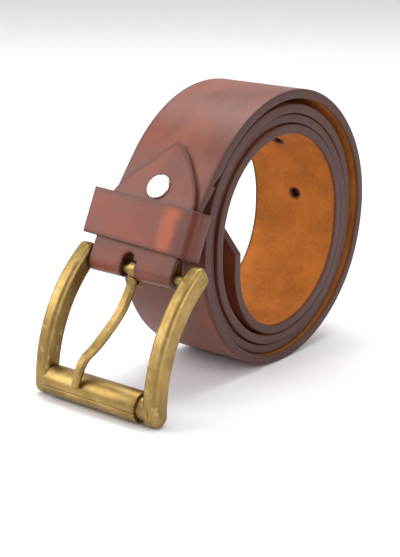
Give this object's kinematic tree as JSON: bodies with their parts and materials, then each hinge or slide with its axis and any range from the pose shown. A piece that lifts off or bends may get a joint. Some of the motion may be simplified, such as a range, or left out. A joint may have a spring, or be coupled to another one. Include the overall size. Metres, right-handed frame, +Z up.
{
  "type": "rolled leather belt with roller buckle",
  "caption": "Leather dress belt rolled up and standing on its rim, with a pointed chape held by a screw, a leather keeper and a bowed roller buckle.",
  "frame": {"origin": "middle of the bounding box's bottom face, on the floor that the roll and the buckle's feet stand on", "axes": "+X across the strap, to the right seen from the buckle; +Y from the buckle to the back of the roll; +Z up"},
  "size_m": [0.0582, 0.1432, 0.1053],
  "materials": {
    "strap_leather": "brown pull-up grain, dark waxed edges, tan flesh side",
    "chape_leather": "brown pull-up grain with a raw edge",
    "keeper_leather": "smooth red-brown, worn to orange at one end",
    "nickel": "polished nickel plate",
    "staple_steel": "drawn steel wire",
    "antique_brass": "antiqued, darkened in the hollows and bright on the edges"
  },
  "bodies": {
    "belt": {"strap": "strap_leather", "chape": "chape_leather", "screw_post": "nickel", "screw": "nickel"},
    "keeper": {"keeper": "keeper_leather", "keeper_staples": "staple_steel"},
    "buckle": {"buckle_frame": "antique_brass"},
    "roller": {"roller": "antique_brass"},
    "tongue": {"tongue": "antique_brass"}
  },
  "joints": [
    {"name": "frame_pivot", "type": "hinge", "parent": "belt", "child": "buckle", "pos_m": [0.0008, -0.04242, 0.04603], "axis": [-1, 0, 0], "range_deg": [-50, 30]},
    {"name": "tongue_pivot", "type": "hinge", "parent": "buckle", "child": "tongue", "pos_m": [0.0008, -0.04242, 0.04603], "axis": [-1, 0, 0], "range_deg": [0, 75]},
    {"name": "roller_spin", "type": "hinge", "parent": "buckle", "child": "roller", "pos_m": [0.0008, -0.06484, 0.00575], "axis": [1, 0, 0], "continuous": true},
    {"name": "keeper_slide", "type": "slide", "parent": "belt", "child": "keeper", "axis": [0, -0.3843, -0.9232], "range_m": [0, 0.0013]}
  ]
}
